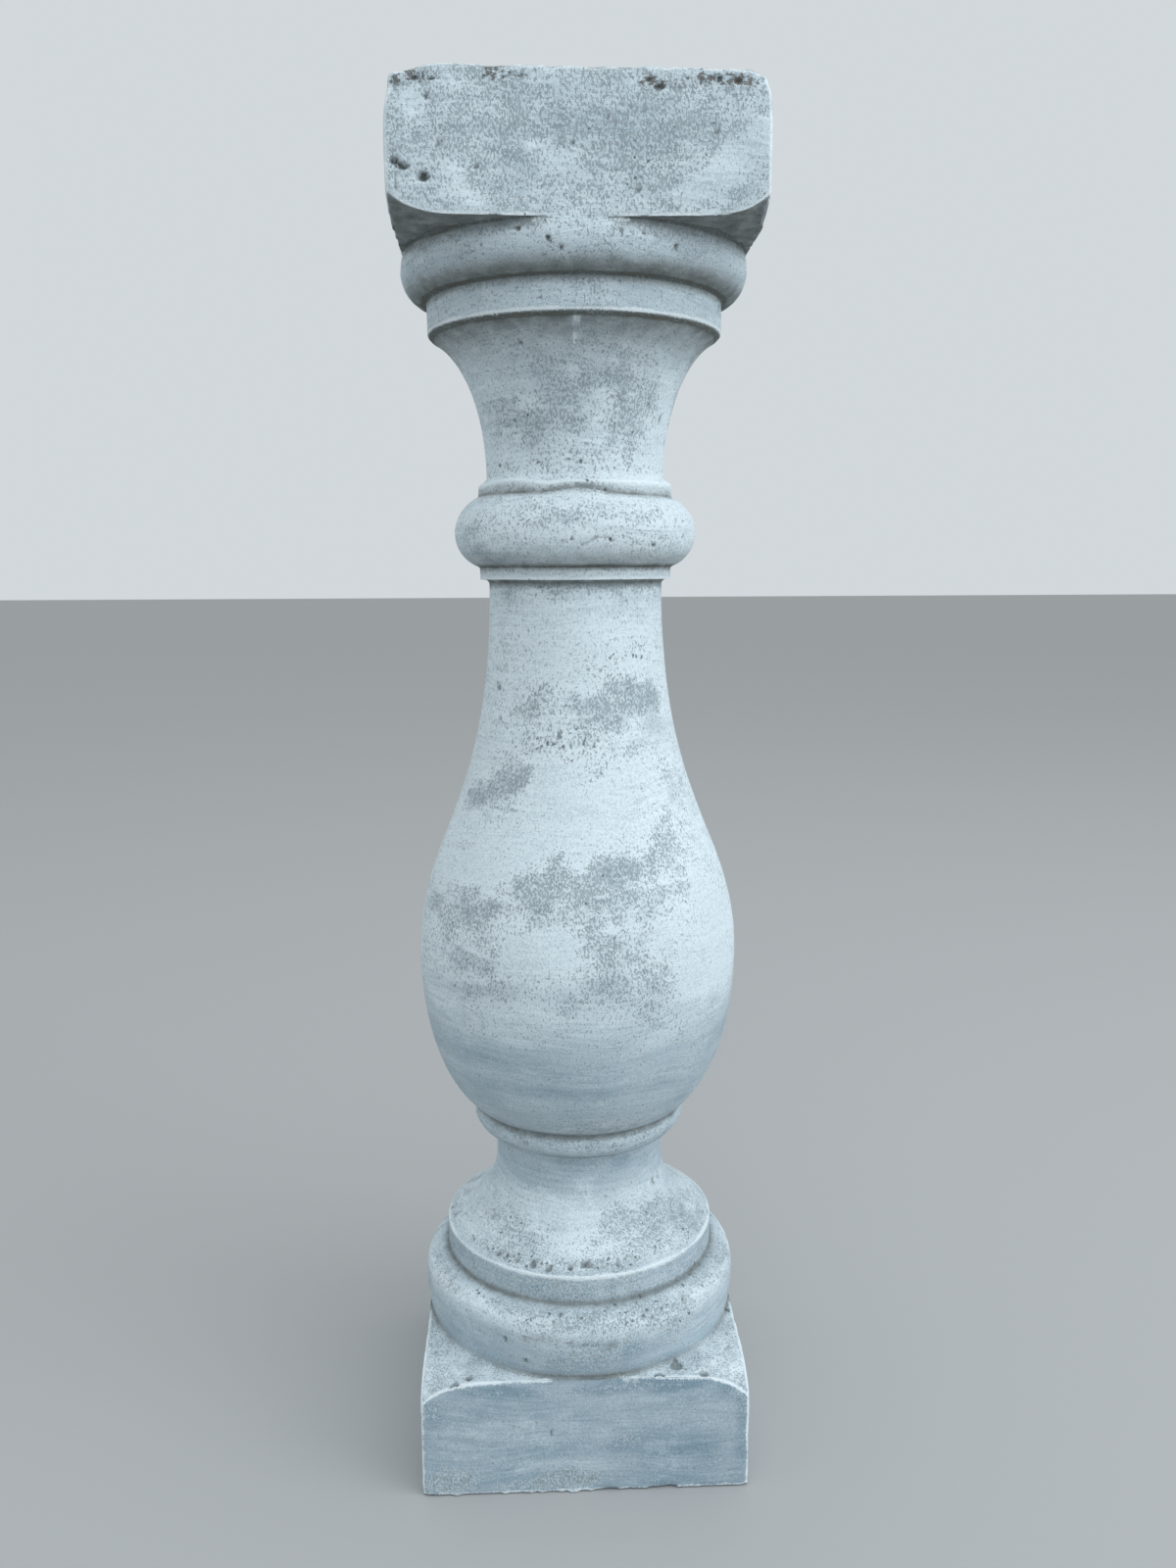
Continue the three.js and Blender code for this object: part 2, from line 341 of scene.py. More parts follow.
def swept_mesh(name, radius, height, turn):
    """A closed mesh from rows of radius and height: x is radius times the sine of the turn, y is
    radius times its cosine towards the back, and a pole closes each end."""
    rows, columns = radius.shape
    x, y = radius * np.sin(turn), -radius * np.cos(turn)
    body = np.stack([x, y, height], axis=-1).reshape(-1, 3)
    poles = [[0, 0, height[0, 0]], [0, 0, height[-1, 0]]]
    here = np.arange(columns)
    following = np.roll(here, -1)
    below = (np.arange(rows - 1) * columns)[:, None]
    above = below + columns
    quads = np.stack([below + here, below + following, above + following, above + here], axis=-1)
    top = (rows - 1) * columns
    bottom_pole = rows * columns
    fans = np.vstack([
        np.column_stack([np.full(columns, bottom_pole), following, here]),
        np.column_stack([np.full(columns, bottom_pole + 1), top + here, top + following]),
    ])
    mesh = bpy.data.meshes.new(name)
    mesh.from_pydata(np.vstack([body, poles]) * MM, [], quads.reshape(-1, 4).tolist() + fans.tolist())
    mesh.update()
    return mesh


mesh = swept_mesh("baluster_casting", *baluster_grid())

# Flaws of the casting and its wear: air bubbles left against the mould, a gouge and chips on the
# arrises, hairline cracks and the mould line, a rough poured top and crumbs of cement along the foot.
HOLES = [
    # turn from the front in degrees, height, width, height of the hole, depth, and radius if on a bed
    (-40.2, 601.4, 4.6, 1.8, 1.2),
    (-36.9, 599.8, 2.8, 1.8, 1.2),
    (19.5, 600.4, 3, 2.2, 1.3),
    (22.4, 597.8, 4, 2.6, 1.5),
    (35.5, 600.8, 3, 2, 1.3),
    (39, 600.6, 3.6, 2.2, 1.4),
    (-38.6, 564.8, 5.6, 3.2, 3.4),
    (-41.9, 568.2, 5, 2.4, 2.8),
    (-43.3, 570, 4.2, 2.4, 2.8),
    (-37.7, 593.5, 2.4, 2.2, 1.6),
    (-35.7, 576, 2, 2, 1.4),
    (-27.5, 568.5, 2.2, 2, 1.4),
    (-2.3, 577.5, 1.8, 1.8, 1.2),
    (8.4, 587, 1.8, 1.6, 1.2),
    (35.2, 582, 1.6, 1.6, 1.1),
    (17, 560.5, 2.2, 2, 1.3),
    (-18.3, 547, 2.2, 2.2, 1.4),
    (-9.2, 542.3, 2.2, 2.9, 1.7),
    (-5.5, 539, 2, 2, 1.3),
    (12.5, 545, 1.8, 2.2, 1.2),
    (19.5, 545.5, 2, 2.4, 1.3),
    (30.5, 542, 2.4, 2.4, 1.4),
    (-13.5, 523.5, 1.6, 2.4, 1),
    (-26, 508.3, 2.4, 2.2, 1.4),
    (-57, 364.6, 3.4, 2.4, 1.8),
    (-51.5, 350.5, 3.6, 2.6, 1.6),
    (-11.5, 345.5, 2.8, 3.4, 1.3),
    (-4.5, 342, 1.8, 5, 1),
    (-3.3, 429, 1.6, 1.6, 1.1),
    (14.3, 429, 1.6, 1.6, 1.1),
    (36, 426.5, 2, 1.8, 1.2),
    (42.3, 427.8, 1.6, 1.6, 1.1),
    (58, 430.5, 2.4, 2.2, 1.5),
    (1, 103.9, 6.6, 3.4, 1.6, 59),
    (-40.5, 103.6, 3.2, 2.4, 1.5, 60.5),
    (-35.7, 103.4, 2.4, 1.6, 0.9, 61),
    (-30, 103.2, 3.6, 2.4, 1.5, 61),
    (-22.5, 103.3, 4.2, 2.4, 1.5, 61),
    (-19, 104.4, 2.2, 1.5, 0.8, 58.5),
    (-15, 103, 3.8, 2.4, 1.5, 61.5),
    (-6, 103.2, 3, 2.4, 1.5, 61),
    (15, 103.1, 3.2, 2.4, 1.5, 61),
    (19, 104, 2.4, 1.5, 0.8, 59.5),
    (-28.6, 72.3, 2.2, 2.6, 1.5),
    (-21.2, 63.6, 2.6, 2, 1.5),
    (-11.8, 31.2, 1.5, 2.4, 0.9),
    (-39.1, 56, 4.8, 4.2, 2.8, 95),
    (-36.8, 56.5, 4.2, 4.2, 2.6, 88),
    (24.5, 57, 4.4, 4.2, 2.6, 80.5),
    (36.8, 56, 4.6, 4.2, 2.6, 90),
    (32.2, 57.6, 6.4, 4.2, 2.6, 79),
]
CRACKS = [
    # turn and height of the points along each hairline
    [(-22, 76.4), (-9, 76), (1, 74.2), (11, 73)],
    [(0.5, 426.2), (4, 427.8), (8, 430), (11, 430.2), (14, 429)],
    [(-43.1, 566.5), (-43.3, 560)],
    [(17.5, 597.0), (24, 597.5), (31, 597.2), (38, 597.3), (44, 596.8)],
    [(-44, 600.0), (-39, 599.6), (-34, 599.9)],
]
CRACK_HALF = 0.4
CRACK_DEPTH = 0.55
CRACK_REACH = 2.0
CRACK_REFINED = 1.3
CRACK_POINTS = 12
CORNER_CHIPS = [
    # turn, height, reach, depth
    (-45, TOTAL_HEIGHT, 12.0, 4.8),
    (45, TOTAL_HEIGHT, 8.0, 3.8),
    (135, TOTAL_HEIGHT, 9.0, 5.0),
    (-135, TOTAL_HEIGHT, 6.5, 3.4),
    (-45, 0, 3.0, 1.0),
    (45, 0, 2.5, 0.8),
    (135, 0, 5.0, 2.0),
]
CHIP_UNEVENNESS = 0.3
CHIP_LUMPS = 5
RANDOM_SEED = 23
LATTICE_MARGIN = 12.0
SCATTERED_HOLES = 60
SCATTER_MARGIN = 12
SCATTER_FRONT = -30
SCATTERED_WIDTHS = (1.8, 3.4)
SCATTERED_TALLNESS = (0.9, 1.5)
SCATTERED_DEPTH = 0.6
HOLE_RAGGEDNESS = 0.9
RIM_LUMPS = 2.2
REFINED_CUTS = 2
REFINED_SHARE = 0.7
REFINED_MARGIN = 1.0
# lumps of the surface: size across, height
SWELLS = [(42, 0.22), (13, 0.1), (4.5, 0.07)]
# chips of the arrises: size across, the values between which a lump becomes a chip, depth
CHIPS = [(9, 0.15, 0.8, 1.0), (4, 0.2, 0.9, 0.5)]
ARRIS_WEAR = 0.2
LEVEL_CHIPS = dict(depth=1.1, reach=1.7)
UPRIGHT_CHIPS = dict(depth=0.9, reach=2.0)
POURED_REACH = 9.0
POURED_FULL = 3.0
POURED_DEPTH = 0.2
POURED_SWELLS = [(5, 0.2)]
POURED_PITS = [(4.2, 0.25, 0.7, 0.7)]
SUNK_TOP = 0.45
SUNK_SWELLS = [(30, 0.6), (11, 0.4), (4, 0.4)]
FOOT_SKIRT = 0.2
CRUMBS = [(2.6, 0.2, 0.8, 1.1)]
CRUMB_TOP = (2.2, 0.6)
CRUMB_BOTTOM = (0.005, 0.1)
UNDERSIDE = 0.01

generator = np.random.default_rng(RANDOM_SEED)


def cloud(places, size):
    """Smooth random lumps about size across, from -1 to 1: random numbers on a square lattice over the
    casting, blended between its corners by three times the squared share less twice its cube."""
    low = np.array([-BLOCK_HALF, -BLOCK_HALF, 0]) - LATTICE_MARGIN
    spans = np.array([2 * BLOCK_HALF, 2 * BLOCK_HALF, TOTAL_HEIGHT]) + 2 * LATTICE_MARGIN
    lattice = generator.uniform(-1, 1, (spans / size).astype(int) + 3)
    cell, share = np.divmod((places - low) / size, 1)
    i, j, k = cell.astype(int).T
    share = share * share * (3 - 2 * share)
    total = 0
    for corner in np.ndindex(2, 2, 2):
        across, along, up = np.abs(1 - np.array(corner) - share).T
        a, b, c = corner
        total = total + across * along * up * lattice[i + a, j + b, k + c]
    return total


def clouds(places, table):
    """The sum of several clouds, each with its size and its height."""
    return sum(height * cloud(places, size) for size, height in table)


def ease(value, low, high):
    """0 below low, 1 above high and a smooth step between them."""
    share = np.clip((value - low) / (high - low), 0, 1)
    return share * share * (3 - 2 * share)


def lumps_above(places, table):
    """The sum of several clouds, each eased from nothing at a low value to its depth at a high one."""
    return sum(depth * ease(cloud(places, size), low, high) for size, low, high, depth in table)


def bell_curve(distance, reach):
    """1 in the middle, falling off by the squared distance over the reach."""
    return np.exp(-((distance / reach) ** 2))


def vectors(items, name):
    """The named vector of each of the mesh's vertices, normals or faces."""
    found = np.empty(len(items) * 3)
    items.foreach_get(name, found)
    return found.reshape(-1, 3)


def place_of(turn, height, places, radius=None):
    """The point of the surface at a turn and height, or at a turn and radius on a bed."""
    turn = math.radians(turn)
    outward = np.array([math.sin(turn), -math.cos(turn)])
    if radius is None:
        off_plane = np.linalg.norm(places[:, :2] - np.outer(np.hypot(*places[:, :2].T), outward), axis=1)
        nearest = np.argmin(np.abs(places[:, 2] - height) + off_plane)
        radius = np.hypot(*places[nearest, :2])
    return np.append(outward * radius, height)


def refine(mesh, centres, reaches):
    """Cuts the faces within reach of each centre smaller, so that the mesh can follow a flaw."""
    middles = vectors(mesh.polygons, "center") / MM
    near = np.zeros(len(middles), bool)
    for centre, reach in zip(centres, reaches):
        near |= np.linalg.norm(middles - centre, axis=1) < reach
    grown = bmesh.new()
    grown.from_mesh(mesh)
    grown.faces.ensure_lookup_table()
    edges = {edge for i in np.flatnonzero(near) for edge in grown.faces[i].edges}
    bmesh.ops.subdivide_edges(grown, edges=list(edges), cuts=REFINED_CUTS, use_grid_fill=True)
    bmesh.ops.triangulate(grown, faces=[f for f in grown.faces if len(f.verts) > 4])
    grown.to_mesh(mesh)
    grown.free()


def casting_holes(places):
    """Centre, width, height and depth of every hole: those listed, and small ones scattered by chance
    over the sides and the back."""
    listed = [(place_of(t, z, places, *bed), w, h, d) for t, z, w, h, d, *bed in HOLES]
    away = (places[:, 2] > SCATTER_MARGIN) & (places[:, 2] < TOTAL_HEIGHT - SCATTER_MARGIN)
    away &= places[:, 1] > SCATTER_FRONT
    for i in generator.choice(np.flatnonzero(away), SCATTERED_HOLES, replace=False):
        width = generator.uniform(*SCATTERED_WIDTHS)
        tall = width * generator.uniform(*SCATTERED_TALLNESS)
        listed.append((places[i], width, tall, SCATTERED_DEPTH * width))
    return listed


def crack_paths(places):
    """Points a millimetre or so apart along the hairlines."""
    points = []
    for crack in CRACKS:
        turns, heights = np.transpose(crack)
        along = np.linspace(0, len(crack) - 1, CRACK_POINTS * len(crack))
        turns, heights = [np.interp(along, range(len(crack)), v) for v in (turns, heights)]
        points += [place_of(t, z, places) for t, z in zip(turns, heights)]
    return points


def hole_depth(places, holes):
    """Depth of the holes at each place: a bowl by a power of one less the squared distance from its
    middle, measured in half widths. Small random shifts of the places make the rims ragged."""
    depth = np.zeros(len(places))
    ragged = places + HOLE_RAGGEDNESS * np.column_stack([cloud(places, RIM_LUMPS) for _ in range(3)])
    for centre, width, tall, deep in holes:
        near = np.flatnonzero(np.abs(places - centre).max(axis=1) < max(width, tall))
        off = ragged[near] - centre
        away = (np.hypot(off[:, 0], off[:, 1]) / (width / 2)) ** 2 + (off[:, 2] / (tall / 2)) ** 2
        depth[near] = np.maximum(depth[near], deep * np.clip(1 - away, 0, 1) ** 0.5)
    return depth


places = vectors(mesh.vertices, "co") / MM
holes = casting_holes(places)
cracks = crack_paths(places)
flaw_reaches = [max(width, tall) * REFINED_SHARE + REFINED_MARGIN for _, width, tall, _ in holes]
flaw_reaches += [CRACK_REFINED] * len(cracks)
refine(mesh, [hole[0] for hole in holes] + cracks, flaw_reaches)


def crack_share(places, cracks):
    """1 on the hairlines, falling off by the squared distance."""
    share = np.zeros(len(places))
    for point in cracks:
        near = np.flatnonzero(np.abs(places - point).max(axis=1) < CRACK_REACH)
        mark = bell_curve(np.linalg.norm(places[near] - point, axis=1), CRACK_HALF)
        share[near] = np.maximum(share[near], mark)
    return share


def level_arris_distance(places):
    """Distance of each place to the nearest level arris of a block, at its flat end or at its bed."""
    half = np.maximum(np.abs(places[:, 0]), np.abs(places[:, 1]))
    side = np.hypot(*places[:, :2].T) * BLOCK_HALF / np.maximum(half, 1)
    from_top = TOTAL_HEIGHT - places[:, 2]
    lower = np.minimum(places[:, 2], np.abs(places[:, 2] - bed_height(side, **PLINTH_BED)))
    upper = np.minimum(from_top, np.abs(from_top - bed_height(side, **ABACUS_BED)))
    return np.hypot(BLOCK_HALF - half, np.minimum(lower, upper))


def upright_arris_distance(places):
    """Distance of each place to the nearest upright arris of a block, and far away on the shaft."""
    off = BLOCK_HALF - np.abs(places[:, :2])
    in_block = (places[:, 2] < PLINTH_HEIGHT) | (places[:, 2] > HEAD_SPRING)
    return np.where(in_block, np.hypot(*off.T), TOTAL_HEIGHT)


def relief(places, hollows, hairlines):
    """How far the surface lies below the true form: slow swells from the mould, fine roughness, worn
    and chipped arrises, the rough poured top, holes and hairlines. Crumbs along the foot stand out."""
    depth = sum(height * (1 + cloud(places, size)) for size, height in SWELLS)
    chips = lumps_above(places, CHIPS)
    for kind, distance in (
        (LEVEL_CHIPS, level_arris_distance(places)), (UPRIGHT_CHIPS, upright_arris_distance(places))
    ):
        depth += (ARRIS_WEAR + kind["depth"] * chips) * bell_curve(distance, kind["reach"])
    poured = ease(places[:, 2], TOTAL_HEIGHT - POURED_REACH, TOTAL_HEIGHT - POURED_FULL)
    depth += poured * (POURED_DEPTH + clouds(places, POURED_SWELLS) + lumps_above(places, POURED_PITS))
    depth = np.maximum(depth + hollows + CRACK_DEPTH * hairlines, 0)
    foot = ease(places[:, 2], *CRUMB_TOP) * ease(places[:, 2], *CRUMB_BOTTOM)
    return depth - foot * (FOOT_SKIRT + lumps_above(places, CRUMBS))


def settled(places):
    """The places with the poured top sunk unevenly, and each corner drawn in by its chip, towards the
    axis half a block's width inside."""
    moved = places.copy()
    top = ease(places[:, 2], TOTAL_HEIGHT - POURED_REACH, TOTAL_HEIGHT)
    sunk = SUNK_TOP + clouds(places, SUNK_SWELLS)
    moved[:, 2] -= top * np.maximum(sunk, 0)
    for turn, height, reach, deep in CORNER_CHIPS:
        corner = place_of(turn, height, places, CORNER_RADIUS)
        middle = np.array([0, 0, abs(height - BLOCK_HALF)])
        inward = (middle - corner) / np.linalg.norm(middle - corner)
        share = bell_curve(np.linalg.norm(places - corner, axis=1), reach)
        share *= 1 + CHIP_UNEVENNESS * cloud(places, CHIP_LUMPS)
        moved += deep * share[:, None] * inward
    return moved


places, normals = vectors(mesh.vertices, "co") / MM, vectors(mesh.vertex_normals, "vector")
hollows, hairlines = hole_depth(places, holes), crack_share(places, cracks)
surface = settled(places) - normals * relief(places, hollows, hairlines)[:, None]
surface[:, 2] = np.clip(surface[:, 2], 0, TOTAL_HEIGHT)
surface[places[:, 2] < UNDERSIDE, 2] = 0
mesh.vertices.foreach_set("co", (surface * MM).ravel())
mesh.shade_smooth()
mesh.update()

# The limewash. A blue-white wash is brushed over the grey concrete. It is worn off the grain in patches
# of fine specks, lies thin and grey in level brush bands, and has dirt mixed with painted shade in creases,
# holes and under overhangs. Its edges are paler: built-up wash with a painted highlight. Its pores and
# pits are painted dark for the shade in them.
SPECKS_BY_HEIGHT = [
    (0, 0.2), (56, 0.22), (60, 0.3), (68, 0.35), (80, 0.45), (90, 0.5), (104, 0.5), (118, 0.4),
    (134, 0.2), (148, 0.3), (156, 0.6), (166, 0.55), (176, 0.3), (205, 0.4), (240, 0.45), (300, 0.4),
    (411, 0.38), (424, 0.42), (460, 0.42), (480, 0.45), (498, 0.5), (515, 0.5), (545, 0.58),
    (552, 0.72), (606, 0.8),
]
FILM_BY_HEIGHT = [
    (0, 1.1), (57, 1.1), (64, 0.95), (74, 0.95), (83, 0.25), (90, 1.2), (100, 1.2), (104, 0.25), (125, 0.45),
    (140, 0.85), (184, 0.85), (190, 1.1), (195, 0.8), (204, 1.05), (211, 0.75),
    (220, 0.55), (235, 0.25), (255, 0.0), (300, 0.0), (390, 0.05), (404, 0.25), (411, 0.2), (440, 0.05),
    (470, 0.05), (495, 0.35), (524, 0.7), (540, 0.8), (552, 0.5), (606, 0.55),
]
PORES_BY_HEIGHT = [
    (0, 0.04), (60, 0.15), (100, 0.25), (140, 0.1), (200, 0.08), (300, 0.15), (520, 0.15),
    (545, 0.25), (606, 0.2),
]
# How strongly downward faces are darkened, by height: dirt and bare concrete mixed with painted shade,
# darkest under the abacus.
DIRT_AND_SHADE_BELOW = [
    (0, 0.1), (155, 0.3), (170, 0.2), (400, 0.3), (418, 0.5), (430, 0.4), (495, 0.45), (512, 0.72),
    (540, 0.9), (606, 1),
]
PATCHES = [
    # turn, height, half width, half height, rise to the right, then change of specks, film and pores
    (-52, 405, 8, 7, 0, 0.3, 0.3, 0),
    (10, 408, 40, 4, 0, 0.3, 0.1, 0.2),
    (-17, 387, 6, 3, 0, 0.3, 0.3, 0),
    (0, 394, 30, 9, 0, -0.2, -0.1, -0.1),
    (38, 377, 15, 5, 0, 0.1, 0, 0.7),
    (-26, 360, 9, 8, 0.3, 0.45, 0.2, 0.5),
    (0, 361, 9, 6, 0, 0, 0.35, 0),
    (24, 359, 23, 9, 0, 0.6, 0.5, 0.2),
    (48, 355, 8, 14, 0, 0.2, 0.5, 0),
    (-12, 342, 14, 7, 0, 0.15, 0, 0.8),
    (8, 348, 10, 8, 0, 0.35, 0.1, 0.4),
    (32, 339, 12, 4, 0, 0.3, 0.7, 0.1),
    (8, 331, 10, 3, 0.1, 0.2, 0, 0.6),
    (62, 330, 14, 26, 0, 0.15, 0.45, 0.1),
    (-46, 320, 20, 10, 0.35, 0.55, 0.5, 0.1),
    (-33, 328, 6, 7, 0, 0.4, 0.3, 0.2),
    (-15, 325, 13, 8, 0, -0.7, -0.5, -0.5),
    (20, 317, 24, 11, 0.1, -0.7, -0.6, -0.4),
    (-35, 300, 22, 6, 0.1, -0.3, -0.2, -0.2),
    (-45, 287, 22, 4.5, 0.12, -0.7, -0.5, -0.3),
    (-12, 280, 25, 14, 0, 0.6, 0.4, 0.35),
    (12, 288, 15, 8, -0.15, 0.6, 0.5, 0.1),
    (19, 290, 5, 4, -0.3, 0.3, 0.9, 0),
    (12, 286, 5, 4, 0, 0.3, 0.9, 0),
    (38, 291, 18, 13, 0, 0.45, 0.1, 0.3),
    (15, 273, 20, 8, 0, 0.35, 0.3, 0.1),
    (-56, 268, 26, 13, 0, 0.32, 0.4, 0.1),
    (-41, 272, 10, 8, 0, 0.35, 0.2, 0.2),
    (-40, 248, 12, 5, 0, 0.3, 0.5, 0.1),
    (-36, 236, 18, 4, 0.1, 0.3, 0.5, 0),
    (-18, 254, 13, 8, 0.3, -0.7, -0.5, -0.4),
    (14, 254, 30, 11, 0, 0.36, 0.4, 0.1),
    (2, 240, 15, 9, 0.1, 0.4, 0.6, 0),
    (22, 232, 16, 13, 0, 0.18, 0.3, 0),
    (52, 252, 26, 26, 0, -0.6, -0.6, -0.3),
    (-48, 222, 30, 7, 0, -0.3, -0.4, -0.1),
    (-35, 219, 8, 3, 0, 0.3, 0, 0.3),
    (-57, 480, 22, 9, 0, 0.35, 0.3, 0.3),
    (-15, 482, 20, 18, 0, 0.25, 0.45, 0.1),
    (35, 480, 16, 16, 0, 0.4, 0.2, 0.35),
    (20, 494, 18, 6, 0, 0.3, 0.2, 0.1),
    (10, 483, 9, 7, 0, -0.3, -0.4, 0),
    (60, 480, 16, 24, 0, -0.4, -0.4, 0),
    (0, 461, 40, 4, 0, 0.1, 0, 0.7),
    (0, 441, 35, 6, 0, 0.25, 0, 0.5),
    (-10, 437, 12, 3, 0, 0.3, 0.4, 0),
    (-60, 430, 10, 8, 0, 0.3, 0.5, 0),
    (-48, 422, 16, 4, -0.1, 0.2, 0.8, 0),
    (5, 452, 10, 3, 0, 0.3, 0.2, 0.8),
    (-40, 113, 22, 8, 0, 0.35, 0.2, 0.3),
    (25, 114, 22, 9, 0, 0.3, 0.1, 0.2),
    (55, 112, 22, 9, 0, 0.45, 0.3, 0.3),
    (-10, 120, 18, 12, 0, -0.4, -0.4, -0.2),
    (0, 104, 60, 2.5, 0, 0.2, 0, 0.6),
    (-10, 95, 24, 5, 0, 0.1, 0.5, 0.1),
    (0, 85, 90, 3.5, 0, 0.4, 0, 0.6),
    (30, 80, 18, 5, 0, 0.3, 0, 0.4),
    (0, 70, 24, 10, 0, 0, 0.6, 0),
    (-50, 75, 24, 10, 0, -0.2, -0.2, 0),
    # more film on the neck under the collar: painted shade
    (5, 141, 20, 6, 0, 0, 0.4, 0),
    (-39, 601, 9, 3.5, 0, 0, 0, 0.9),
    (-24, 601.5, 8, 2.5, 0, 0, 0, 0.7),
    (-12, 602, 6, 2, 0, 0, 0, 0.5),
    (21.5, 599, 8, 4.5, 0, 0.1, 0, 0.9),
    (33, 602, 6, 2.5, 0, 0, 0, 0.8),
    (39, 600.5, 9, 4, 0, 0.1, 0, 0.8),
    (-12, 576, 9, 3, -0.5, -0.5, -0.4, -0.1),
    (-4, 567, 8, 4, 0, -0.3, -0.2, -0.1),
    (-32, 564, 5, 5, 0, -0.5, -0.5, -0.1),
    (-28, 558, 4, 5, 0, -0.5, -0.5, -0.1),
    (38, 570, 20, 8, 1, -0.6, -0.4, -0.1),
    (-40, 590, 4, 7, 0, -0.5, -0.4, -0.1),
    (39.6, 560, 3.2, 2.6, 0, 0.2, 1, 0),
    (-18, 568, 8, 8, 0, 0.1, 0.5, 0),
    (10, 584, 40, 9, 0, 0.15, 0.35, 0),
    (10, 566, 20, 9, 0, 0.1, -0.1, 0.3),
    (20, 52.5, 26, 3.2, 0, 0.1, 0.7, 0),
    (13, 52, 14, 2.8, 0, 0.1, 0.5, 0),
    (-25, 51.5, 18, 3, 0, 0.1, 0.5, 0),
    (-43, 41, 4, 7, 0, 0.2, 0.8, 0),
    (42, 49, 6, 6, -0.3, 0.2, 0.7, 0),
    (44, 30, 2.5, 20, 0, 0, 0.5, 0),
    (13, 25, 9, 3, 0.1, 0.1, 0.5, 0),
    (35, 19, 11, 6, -0.2, 0, 0.4, 0),
    (-41, 6, 9, 5.5, 0, 0.9, 1.3, 0.2),
    (-20, 5, 14, 3.5, 0, 0.4, 0.6, 0),
    (-7, 6, 12, 6.5, 0.2, 0.85, 1.1, 0.2),
    (30, 4, 20, 3, 0, 0.1, 0.5, 0),
    (-15, 33, 36, 7, 0, 0, -0.4, 0),
    (25, 42, 24, 4, -0.05, 0, -0.35, 0),
    (-10, 14, 26, 4, 0.05, 0, -0.3, 0),
    # the hidden sides, guessed in keeping with the front
    (158, 355, 20, 9, 0.1, 0.5, 0.4, 0.2),
    (-128, 342, 16, 7, 0, 0.3, 0.2, 0.5),
    (112, 322, 18, 9, 0.2, 0.45, 0.4, 0.1),
    (-150, 288, 26, 10, 0.1, 0.5, 0.4, 0.3),
    (-172, 262, 30, 9, -0.1, 0.4, 0.5, 0.1),
    (128, 276, 24, 11, 0, 0.45, 0.4, 0.2),
    (-104, 254, 20, 12, 0.2, 0.4, 0.4, 0.1),
    (148, 236, 22, 8, 0, 0.25, 0.4, 0),
    (-118, 480, 18, 12, 0, 0.35, 0.3, 0.3),
    (165, 472, 20, 10, 0, 0.35, 0.3, 0.2),
    (102, 486, 16, 9, 0, 0.3, 0.3, 0.1),
    (-160, 430, 22, 6, 0, 0.3, 0.4, 0.4),
    (-125, 112, 22, 8, 0, 0.4, 0.2, 0.3),
    (140, 114, 24, 9, 0, 0.35, 0.2, 0.3),
    (180, 72, 26, 8, 0, 0.2, 0.4, 0.1),
    (-96, 574, 24, 9, -0.3, -0.5, -0.4, -0.1),
    (96, 586, 24, 8, 0.2, 0.2, 0.4, 0.2),
    (176, 566, 30, 9, 0.3, -0.5, -0.3, -0.1),
    (150, 599, 14, 4, 0, 0.1, 0, 0.8),
    (-108, 600, 16, 4, 0, 0.1, 0, 0.8),
    (-170, 6, 16, 6, 0, 0.7, 0.9, 0.1),
    (98, 5, 14, 5, 0, 0.6, 0.9, 0.1),
]
# Creases round the shaft, where dirt is mixed with painted shade.
CREASES = [
    # radius, height
    (BLOCK_HALF - FOOT_TORUS_SETBACK, PLINTH_HEIGHT),
    (FOOT_BAND_RADIUS, FOOT_BAND_BOTTOM),
    (NECK_RADIUS + 2, NECK_TOP + 1),
    (COLLAR_RADIUS - COLLAR_CREASE_STEP, COLLAR_TOP),
    (SLEEVE_TOP_RADIUS, SLEEVE_TOP - 1),
    (FILLET_RADIUS, RING_BOTTOM),
    (FILLET_RADIUS, RING_TOP),
    (HEAD_BAND_RADIUS - 1.4, BELL_TOP),
    (HEAD_BAND_RADIUS, HEAD_BAND_TOP),
]
# Lips which, like the arrises, get paler wash that also paints their highlight.
LIPS = [
    # radius, height
    (FOOT_BAND_RADIUS, FOOT_BAND_TOP),
    (FILLET_RADIUS, SLEEVE_TOP),
    (FILLET_RADIUS, FILLET_TOP),
    (HEAD_BAND_RADIUS, HEAD_BAND_BOTTOM),
    (COLLAR_RADIUS - COLLAR_LIP_STEP, COLLAR_BOTTOM),
]
DRIPS = [
    # turn, height, half width, half height
    (-1.4, 515.5, 2.2, 1.6),
    (-1.4, 509.8, 1.6, 2.2),
    (52, 204, 3.0, 1.6),
]
DRIP_PALE = 0.62
DRIP_CLEARING = 0.4
DRIP_TEAR = 0.5
PATCH_TEAR = 0.55
TEAR_SIZES = (17, 11, 6, 5)
SMALL_TEAR_SHARE = 0.6
FADE_BAND = (-0.5, 0.5)
LOWER_FADE = 2.5
FADE_GAIN = 3.5
GROUNDS = [
    # for specks, film and pores: amount by height, clouds, change on the plinth's bed, clouds of the sides
    (SPECKS_BY_HEIGHT, [(30, 0.12), (12, 0.1)], 0.5, [(26, 0.3)]),
    (FILM_BY_HEIGHT, [(22, 0.1)], -0.6, [(34, 0.3)]),
    (PORES_BY_HEIGHT, [(18, 0.1)], 0, [(24, 0.3)]),
]
PATCH_SHARES = (1, 0.75, 1)
SIDE_TURNS = (60, 85)
BED_FACING = (0.5, 0.85)
CREASE_REACH = 1.5
CREASE_SHADE_AND_DIRT = 0.78
CREASE_SPECKS = 0.3
HEAD_CREASE_REACH = 3.0
HEAD_CREASE_SHARE = 0.9
OUTSIDE_TURNS = (7, 15)
UNDER_FACING = (0.3, 0.9)
HOLLOW_DEPTHS = (0.2, 1.1)
HOLLOW_SHADE = 0.65
